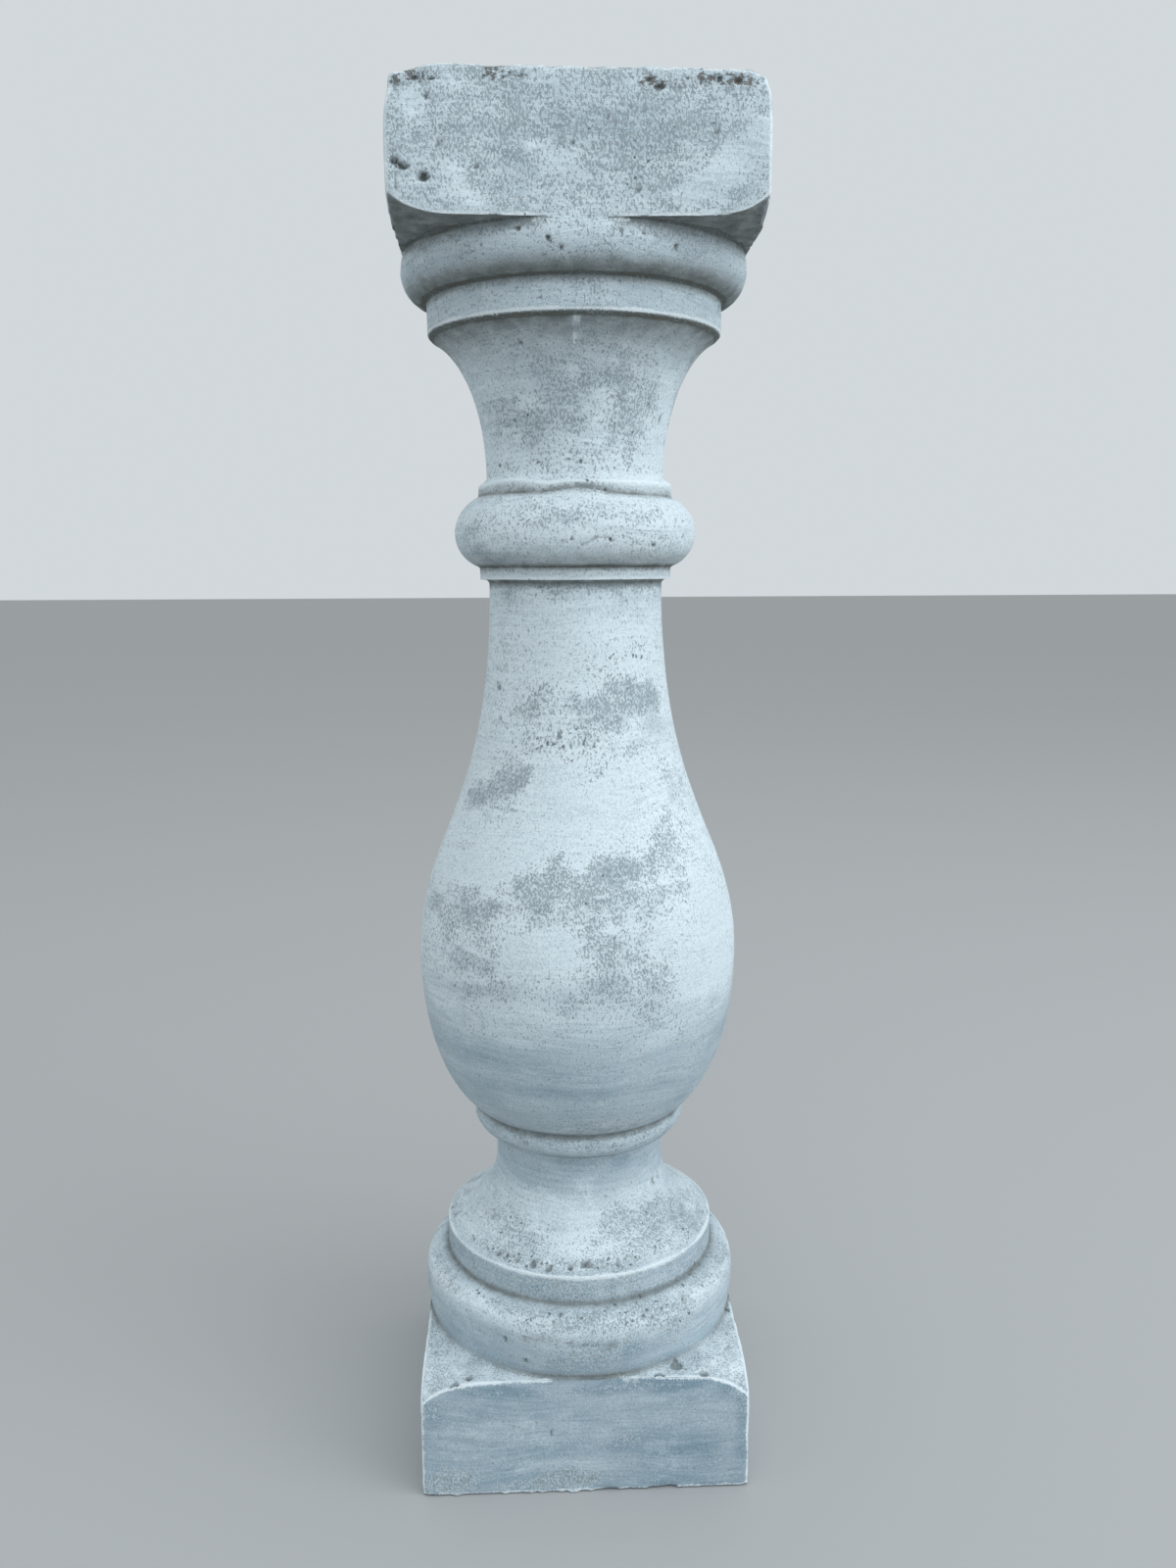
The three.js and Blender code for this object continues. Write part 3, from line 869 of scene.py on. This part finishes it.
HAIRLINE_DARKENING = 0.6
LIP_REACH = 1.1
ARRIS_REACH = 1.9
MERGED_HEIGHT = 4
PALE_FACING = (-0.85, -0.35)
PALE_LEAST = 0.7
PALE_LUMPS = 14
PALE_RANGE = (-0.7, 0.3)


def by_height(height, table):
    """A value that runs evenly from one listed height to the next."""
    return np.interp(height, *zip(*table))


def patch_share(places, torn, turn, height, wide, tall, rise):
    """1 in the middle of a patch and nothing past its rim: an ellipse with half sizes in millimetres,
    whose middle line rises to the right. It fades by a power of the distance that grows from 2.5
    below the middle line to 6 above it, so that the upper rim is the harder one. The two columns of
    torn, from -1 to 1, shift the places across and up by a share of the patch's size."""
    middle = place_of(turn, height, places)
    side = np.array([math.cos(math.radians(turn)), math.sin(math.radians(turn))])
    off = places - middle
    across = off[:, :2] @ side
    front = (off[:, :2] @ np.array([side[1], -side[0]])) > -BLOCK_HALF
    up = off[:, 2] - rise * across + PATCH_TEAR * tall * torn[:, 1]
    across = across + PATCH_TEAR * wide * torn[:, 0]
    away = np.hypot(across / wide, up / tall)
    return np.exp(-(away ** (LOWER_FADE + FADE_GAIN * ease(up / tall, *FADE_BAND)))) * front


def ring_marks(places, circles, reach):
    """1 on the listed circles round the axis, falling off within the reach. Those at the upper fillet
    wander as its crease and edge do."""
    radius = np.hypot(*places[:, :2].T)
    turn = np.arctan2(places[:, 0], -places[:, 1])
    off = [np.hypot(radius - r, places[:, 2] - z - rise_of(z, turn)) for r, z in circles]
    return bell_curve(np.min(off, axis=0), reach)


def wash_measures(places, normals, hollows, hairlines):
    """Five measures of the surface, about 1 where each is full: fine specks, thin grey film, larger
    pores, dirt mixed with painted shade, and the pale build-up of wash on edges, which also paints their
    highlight."""
    turn = np.degrees(np.arctan2(places[:, 0], -places[:, 1]))
    height = places[:, 2]
    away = ease(np.abs(turn), *SIDE_TURNS)
    wear = np.array([by_height(height, ground[0]) + clouds(places, ground[1]) for ground in GROUNDS])
    bed = ease(normals[:, 2], *BED_FACING) * (height < PLINTH_HEIGHT + 1)
    wear += [on_bed * bed + away * clouds(places, table) for _, _, on_bed, table in GROUNDS]
    torn = np.column_stack([cloud(places, size) for size in TEAR_SIZES])
    torn = torn[:, :2] + SMALL_TEAR_SHARE * torn[:, 2:]
    for *patch, more_specks, more_film, more_pores in PATCHES:
        change = np.multiply((more_specks, more_film, more_pores), PATCH_SHARES)
        wear += np.outer(change, patch_share(places, torn, *patch))
    outside = ease(np.abs((turn + 45) % 90 - 45), *OUTSIDE_TURNS)
    # Under the abacus the crease's dirt and painted shade reach further onto the torus.
    head_crease = outside * bell_curve(HEAD_SPRING - height, HEAD_CREASE_REACH) * (height < HEAD_SPRING)
    crease = np.maximum(ring_marks(places, CREASES, CREASE_REACH), HEAD_CREASE_SHARE * head_crease)
    wear[0] += CREASE_SPECKS * crease
    # Downward faces darken: dirt mixed with painted shade under overhangs.
    below = ease(-normals[:, 2], *UNDER_FACING)
    dirt_and_shade = CREASE_SHADE_AND_DIRT * crease + below * by_height(height, DIRT_AND_SHADE_BELOW)
    # Painted shade in the deeper holes; the hairlines are drawn darker along their length.
    dirt_and_shade += HOLLOW_SHADE * ease(hollows, *HOLLOW_DEPTHS) + HAIRLINE_DARKENING * hairlines
    # Paler edges on lips and arrises: built-up wash and a painted highlight, kept off downward faces.
    arris = np.minimum(level_arris_distance(places), upright_arris_distance(places))
    pale = np.maximum(ring_marks(places, LIPS, LIP_REACH), bell_curve(arris, ARRIS_REACH))
    merged = np.abs(height - PLINTH_HEIGHT) < MERGED_HEIGHT
    merged |= np.abs(height - HEAD_SPRING) < MERGED_HEIGHT
    pale *= np.where(merged, outside, 1) * ease(normals[:, 2], *PALE_FACING)
    pale *= PALE_LEAST + (1 - PALE_LEAST) * ease(cloud(places, PALE_LUMPS), *PALE_RANGE)
    for drip in DRIPS:
        share = patch_share(places, DRIP_TEAR * torn, *drip, 0)
        pale = np.maximum(pale, DRIP_PALE * share)
        dirt_and_shade -= DRIP_CLEARING * share
    return *wear, dirt_and_shade, pale


MEASURES = ("specks", "film", "pores", "dirt_and_shade", "pale")
measures = wash_measures(places, vectors(mesh.vertex_normals, "vector"), hollows, hairlines)
for name, values in zip(MEASURES, measures):
    mesh.attributes.new(name, "FLOAT", "POINT").data.foreach_set("value", np.maximum(values, 0))

WASH = (0.81, 0.915, 0.965, 1)
# A whiter wash for the paler edges and speck rims, which also paints their highlight.
THICK_WASH_AND_HIGHLIGHT = (0.86, 0.94, 0.975, 1)
MOTTLE = (0.46, 0.50, 0.53, 1)
FILM = (0.195, 0.31, 0.395, 1)
GREY_TONE = (0.45, 0.50, 0.52, 1)
CONCRETE_LIGHT = (0.30, 0.365, 0.40, 1)
CONCRETE_DARK = (0.17, 0.215, 0.24, 1)
# Dirt colour, also used as painted shade in creases, holes and under overhangs.
DIRT_AND_SHADE = (0.135, 0.138, 0.118, 1)
# Painted shade: dark colours for the pits of the poured top and the fine pores; the pit colour is also the
# poured top's colour of dirt and painted shade.
SHADED_HOLLOW = (0.15, 0.135, 0.12, 1)
SHADED_PORE = (0.15, 0.165, 0.17, 1)
NOISES = {
    # size of the lumps along x, y and z in millimetres, detail, roughness
    "strokes": ((30, 30, 1.7), 3.0, 0.65),
    "bristles": ((14, 14, 0.6), 2.0, 0.5),
    "broad": ((50, 50, 9), 2.0, 0.5),
    "small_clouds": ((7, 7, 5), 4.0, 0.65),
    "large_clouds": ((24, 24, 15), 2.0, 0.5),
    "grain": ((0.85, 0.85, 1.5), 2.0, 0.6),
    "grit": ((0.6, 0.6, 0.6), 2.0, 0.6),
    "pits": ((3.0, 3.0, 2.0), 3.0, 0.6),
    "sand": ((5, 5, 5), 4.0, 0.6),
    "tones": ((50, 50, 35), 2.0, 0.5),
}
BRUSHED = ("strokes", "bristles", "broad")
BRUSH_BEND = dict(size=60, shift=18)
PORE_BEND = dict(size=1.3, shift=2.0)
PORE_CELL = (2.5, 2.5, 3.4)
WORN_SWINGS = {"large_clouds": 0.5, "small_clouds": 0.9, "strokes": 0.4}
THIN_SWINGS = {"strokes": 0.75, "broad": 0.85, "small_clouds": 0.9, "bristles": 0.35, "grain": 0.5}
MOTTLE_SWINGS = {"grain": 1.4, "grit": 1.5, "bristles": 0.35, "strokes": 0.3}
BUILT_UP_AND_HIGHLIGHT_SWINGS = {"grain": 1.0, "small_clouds": 0.8}
PORE_SWINGS = {"large_clouds": 0.6}
MOTTLE_BASE = 0.13
SPECK_LEVELS = (0.69, 0.41)
SPECK_SOFTNESS = 0.13
# Width and strength of the whiter rim round the specks: thicker wash and a painted highlight on their raised
# edges.
RIM_WIDTH = 0.12
RIM_SHARES = (0.1, 0.45, 0.08, 0.6)
WORN_RANGE = (0.45, 1.1)
WORN_FILM = 0.62
FILM_RANGE = (0.05, 1.45)
PORE_SIZES = (0.9, 1.7, 0, 0.42)
PORE_FLOOR = 0.4
PIT_LEVELS = (0.2, 0.9, 0.66, 0.48)
PIT_SOFTNESS = 0.08
SAND_RANGE = (0.35, 0.65)
TONE_RANGE = (0.3, 0.7)
DIRT_AND_SHADE_SHARES = (0.3, 0.7, 0.72, 1.12)
BUILT_UP_AND_HIGHLIGHT_RANGE = (0.35, 0.7)
POURED_FOOT = (TOTAL_HEIGHT - 8.0) * MM
POURED_EDGE = (TOTAL_HEIGHT - 1.4) * MM
POURED_WAVE = 1.6 * MM
POURED_FADE = 0.8 * MM
SPECK_COVER = 0.6
GREY_COVER = 0.12
FILM_COVER = 0.9
BUILT_UP_AND_HIGHLIGHT_COVER = 0.9
PIT_COVER = 0.85
BUMP_HEIGHT = 0.35
BUMP_STRENGTH = 0.8
BUMP_SHARES = {"speck": -0.7, "pore": -1.6, "hollow": -1.6, "bristles": 0.6, "grit": 0.7}
WASH_ROUGHNESS = 0.86
SPECK_ROUGHNESS = 0.1
SPECULAR = 0.25


def node(tree, kind, inputs=None, **settings):
    """A shader node of a kind, with its settings. Each input is a value, or a node's output to link."""
    made = tree.nodes.new("ShaderNode" + kind)
    for name, value in settings.items():
        setattr(made, name, value)
    for name, value in (inputs or {}).items():
        if isinstance(value, bpy.types.NodeSocket):
            tree.links.new(value, made.inputs[name])
        else:
            made.inputs[name].default_value = value
    return made


def scaled(tree, place, size):
    """The place measured in steps of size millimetres along x, y and z."""
    scale = [1 / (MM * s) for s in size]
    return node(tree, "Mapping", {"Vector": place, "Scale": scale}).outputs[0]


def lumps(tree, place, size, detail, roughness):
    """Noise from 0 to 1, whose lumps are about size millimetres along x, y and z."""
    noise = {"Vector": scaled(tree, place, size), "Scale": 1.0, "Detail": detail, "Roughness": roughness}
    return node(tree, "TexNoise", noise).outputs[0]


def bent(tree, place, size, shift):
    """The place moved about by noise, whose lumps are size millimetres, by up to shift millimetres."""
    noise = node(tree, "TexNoise", {"Vector": place, "Scale": 1 / (MM * size), "Detail": 1.0})
    inputs = {0: noise.outputs["Color"], 1: [shift * MM] * 3, 2: place}
    return node(tree, "VectorMath", inputs, operation="MULTIPLY_ADD").outputs[0]


def plus(tree, first, second, share=1.0):
    """first plus share times second."""
    inputs = {0: second, 1: share, 2: first}
    return node(tree, "Math", inputs, operation="MULTIPLY_ADD").outputs[0]


def swung(tree, start, noises, swings):
    """The start, plus each named noise's distance from its mean of a half times its share."""
    for name, share in swings.items():
        start = plus(tree, plus(tree, -0.5 * share, noises[name], share), start)
    return start


def times(tree, first, second):
    """first times second."""
    return node(tree, "Math", {0: first, 1: second}, operation="MULTIPLY").outputs[0]


def step(tree, value, low, high):
    """0 below low, 1 above high and a smooth step between them. The two may be outputs."""
    ends = {"Value": value, "From Min": low, "From Max": high}
    return node(tree, "MapRange", ends, interpolation_type="SMOOTHSTEP").outputs[0]


def ramp(tree, value, low, high, first, last):
    """A value that runs evenly from first at low to last at high, and no further."""
    ends = {"Value": value, "From Min": low, "From Max": high, "To Min": first, "To Max": last}
    return node(tree, "MapRange", ends).outputs[0]


def blended(tree, share, first, second, blend="MIX"):
    """The first colour turning into the second by a share, or into the two multiplied."""
    colours = {0: share, 6: first, 7: second}
    return node(tree, "Mix", colours, data_type="RGBA", blend_type=blend).outputs[2]


def limewashed_concrete():
    """Grey concrete with a worn, brushed limewash, dirt mixed with painted shade, fine pores and pits
    painted dark for the shade in them, paler edges and speck rims that paint a highlight, and its bumps
    to match.
    """
    material = bpy.data.materials.new("limewashed_concrete")
    material.use_nodes = True
    tree = material.node_tree
    shader = tree.nodes["Principled BSDF"]
    place = node(tree, "TexCoord").outputs["Object"]
    specks, film, pores, dirt_and_shade, pale = [
        node(tree, "Attribute", attribute_name=name).outputs["Fac"] for name in MEASURES
    ]

    swept = bent(tree, place, **BRUSH_BEND)
    noises = {}
    for name, (size, detail, roughness) in NOISES.items():
        noises[name] = lumps(tree, swept if name in BRUSHED else place, size, detail, roughness)
    grain, small_clouds = noises["grain"], noises["small_clouds"]

    worn_off = swung(tree, specks, noises, WORN_SWINGS)
    needed = ramp(tree, worn_off, 0, 1, *SPECK_LEVELS)
    speck = step(tree, grain, needed, plus(tree, needed, SPECK_SOFTNESS))
    # A whiter rim round each speck: painted highlight on its raised edge, as thicker wash.
    speck_rim = step(tree, grain, plus(tree, needed, -RIM_WIDTH), needed)
    rim_share = ramp(tree, worn_off, *RIM_SHARES)

    thinned = swung(tree, film, noises, THIN_SWINGS)
    thinned = plus(tree, thinned, step(tree, worn_off, *WORN_RANGE), WORN_FILM)
    thinned = ramp(tree, thinned, *FILM_RANGE, 0, FILM_COVER)
    mottled = swung(tree, MOTTLE_BASE, noises, MOTTLE_SWINGS)

    ragged = scaled(tree, bent(tree, place, **PORE_BEND), PORE_CELL)
    cells = node(tree, "TexVoronoi", {"Vector": ragged, "Scale": 1.0})
    chance = node(tree, "SeparateColor", {0: cells.outputs["Color"]}).outputs[0]
    chance = plus(tree, chance, swung(tree, pores, noises, PORE_SWINGS))
    size = ramp(tree, chance, *PORE_SIZES)
    pore = step(tree, cells.outputs["Distance"], size, times(tree, size, PORE_FLOOR))

    height = node(tree, "SeparateXYZ", {0: place}).outputs[2]
    wavy = plus(tree, height, noises["large_clouds"], POURED_WAVE)
    poured = step(tree, wavy, POURED_FOOT, POURED_FOOT + POURED_WAVE)
    poured = times(tree, poured, step(tree, height, POURED_EDGE, POURED_EDGE - POURED_FADE))
    rare = ramp(tree, pores, *PIT_LEVELS)
    hollow = times(tree, poured, step(tree, noises["pits"], rare, plus(tree, rare, PIT_SOFTNESS)))

    concrete = blended(tree, step(tree, noises["sand"], *SAND_RANGE), CONCRETE_DARK, CONCRETE_LIGHT)
    greyed = times(tree, step(tree, noises["tones"], *TONE_RANGE), GREY_COVER)
    wash = blended(tree, greyed, blended(tree, thinned, WASH, FILM), GREY_TONE)
    wash = blended(tree, times(tree, speck_rim, rim_share), wash, THICK_WASH_AND_HIGHLIGHT)
    # Dirt mixed with painted shade: creases, holes and undersides turn towards the dark colour.
    dirt_and_shade_share = times(tree, dirt_and_shade, ramp(tree, small_clouds, *DIRT_AND_SHADE_SHARES))
    wash = blended(tree, dirt_and_shade_share, wash, blended(tree, poured, DIRT_AND_SHADE, SHADED_HOLLOW))
    wash = blended(tree, mottled, wash, MOTTLE, "MULTIPLY")
    colour = blended(tree, times(tree, speck, SPECK_COVER), wash, concrete)
    # Paler wash on edges that also paints the highlight they catch.
    built_up_and_highlight = step(tree, swung(tree, pale, noises, BUILT_UP_AND_HIGHLIGHT_SWINGS), *BUILT_UP_AND_HIGHLIGHT_RANGE)
    colour = blended(tree, times(tree, built_up_and_highlight, BUILT_UP_AND_HIGHLIGHT_COVER), colour, THICK_WASH_AND_HIGHLIGHT)
    # Pores and pits are painted dark for the shade in them.
    colour = blended(tree, times(tree, pore, PIT_COVER), colour, SHADED_PORE)
    colour = blended(tree, times(tree, hollow, PIT_COVER), colour, SHADED_HOLLOW)
    tree.links.new(colour, shader.inputs["Base Color"])

    raised = dict(noises, speck=speck, pore=pore, hollow=hollow)
    rise = 0
    for name, share in BUMP_SHARES.items():
        rise = plus(tree, rise, raised[name], share)
    bump = {"Height": rise, "Strength": BUMP_STRENGTH, "Distance": BUMP_HEIGHT * MM}
    tree.links.new(node(tree, "Bump", bump).outputs[0], shader.inputs["Normal"])
    tree.links.new(plus(tree, WASH_ROUGHNESS, speck, SPECK_ROUGHNESS), shader.inputs["Roughness"])
    shader.inputs["Specular IOR Level"].default_value = SPECULAR
    return material


def put_in_scene(name, data):
    """A new object that shows the data, linked to the scene."""
    made = bpy.data.objects.new(name, data)
    bpy.context.scene.collection.objects.link(made)
    return made


mesh.materials.append(limewashed_concrete())
baluster = put_in_scene("cast_baluster", mesh)
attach(baluster, "root")
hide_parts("baluster")

# The studio: a plain pale floor, soft light from above and from the right, and the camera where the
# photograph was taken from.
FLOOR_HALF = 20.0
FLOOR_COLOUR = (0.45, 0.455, 0.455, 1)
FLOOR_ROUGHNESS = 0.9
SKY_COLOUR = (0.905, 0.965, 1.0, 1)
SKY_STRENGTH = 0.71
LAMP_COLOUR = (0.91, 0.965, 1.0)
LAMP_TARGET = (0, 0, 0.3)
LAMP_UP = (0, 1, 0.001)
LAMPS = {
    # place, size and power
    "overhead": ((0.5, -0.9, 2.4), 2.4, 23),
    "right_side": ((2.2, -1.2, 1.3), 1.6, 19),
}
CAMERA_DISTANCE = 0.5919
CAMERA_HEIGHT = 0.4159
BLOCK_TURN = 1.9
CAMERA_PITCH = 9.56
CAMERA_ROLL = -0.25
CAMERA_YAW = -0.52
FOCAL_PIXELS = 1290
PHOTO_HEIGHT = 1600
SENSOR = 36


def pale_floor():
    """The floor's plain, even finish."""
    material = bpy.data.materials.new("pale_floor")
    material.use_nodes = True
    shader = material.node_tree.nodes["Principled BSDF"]
    shader.inputs["Base Color"].default_value = FLOOR_COLOUR
    shader.inputs["Roughness"].default_value = FLOOR_ROUGHNESS
    return material


def floor_mesh():
    """One square face round the middle."""
    mesh = bpy.data.meshes.new("floor")
    corners = [(x * FLOOR_HALF, y * FLOOR_HALF, 0) for x, y in ((-1, -1), (1, -1), (1, 1), (-1, 1))]
    mesh.from_pydata(corners, [], [(0, 1, 2, 3)])
    return mesh


floor = put_in_scene("floor", floor_mesh())
floor.data.materials.append(pale_floor())


def soft_light(name, place, size, power):
    """A square area light at place that faces the middle of the baluster."""
    data = bpy.data.lights.new(name, "AREA")
    data.size = size
    data.energy = power
    data.color = LAMP_COLOUR
    away = np.subtract(place, LAMP_TARGET)
    back = away / np.linalg.norm(away)
    side = np.cross(LAMP_UP, back)
    side /= np.linalg.norm(side)
    turned = Matrix(np.column_stack([side, np.cross(back, side), back])).to_4x4()
    turned.translation = place
    put_in_scene(name, data).matrix_world = turned


for name, (place, size, power) in LAMPS.items():
    soft_light(name, place, size, power)

world = bpy.data.worlds.new("studio")
world.use_nodes = True
world.node_tree.nodes["Background"].inputs["Color"].default_value = SKY_COLOUR
world.node_tree.nodes["Background"].inputs["Strength"].default_value = SKY_STRENGTH
bpy.context.scene.world = world
bpy.context.scene.view_settings.view_transform = "Standard"


def photo_camera():
    """The camera at the photograph's place: set back from the axis, turned by the block's own turn,
    pitched down, with the focal length worked out from pixels for a 1600 pixel long side."""
    turn = math.radians(BLOCK_TURN)
    base = Matrix(((1, 0, 0), (0, 0, -1), (0, 1, 0)))
    pitch = Matrix.Rotation(math.radians(CAMERA_PITCH), 3, "X")
    roll = Matrix.Rotation(math.radians(CAMERA_ROLL), 3, "Z")
    yaw = Matrix.Rotation(math.radians(-CAMERA_YAW), 3, "Z")
    looks = roll @ pitch @ base @ yaw @ Matrix.Rotation(turn, 3, "Z")
    data = bpy.data.cameras.new("photo_camera")
    data.sensor_width = SENSOR
    data.lens = FOCAL_PIXELS / PHOTO_HEIGHT * SENSOR
    placed = Matrix((looks[0], -looks[1], -looks[2])).transposed().to_4x4()
    across, back = CAMERA_DISTANCE * math.sin(turn), CAMERA_DISTANCE * math.cos(turn)
    placed.translation = (-across, -back, CAMERA_HEIGHT)
    camera = put_in_scene("photo_camera", data)
    camera.matrix_world = placed
    bpy.context.scene.camera = camera


photo_camera()
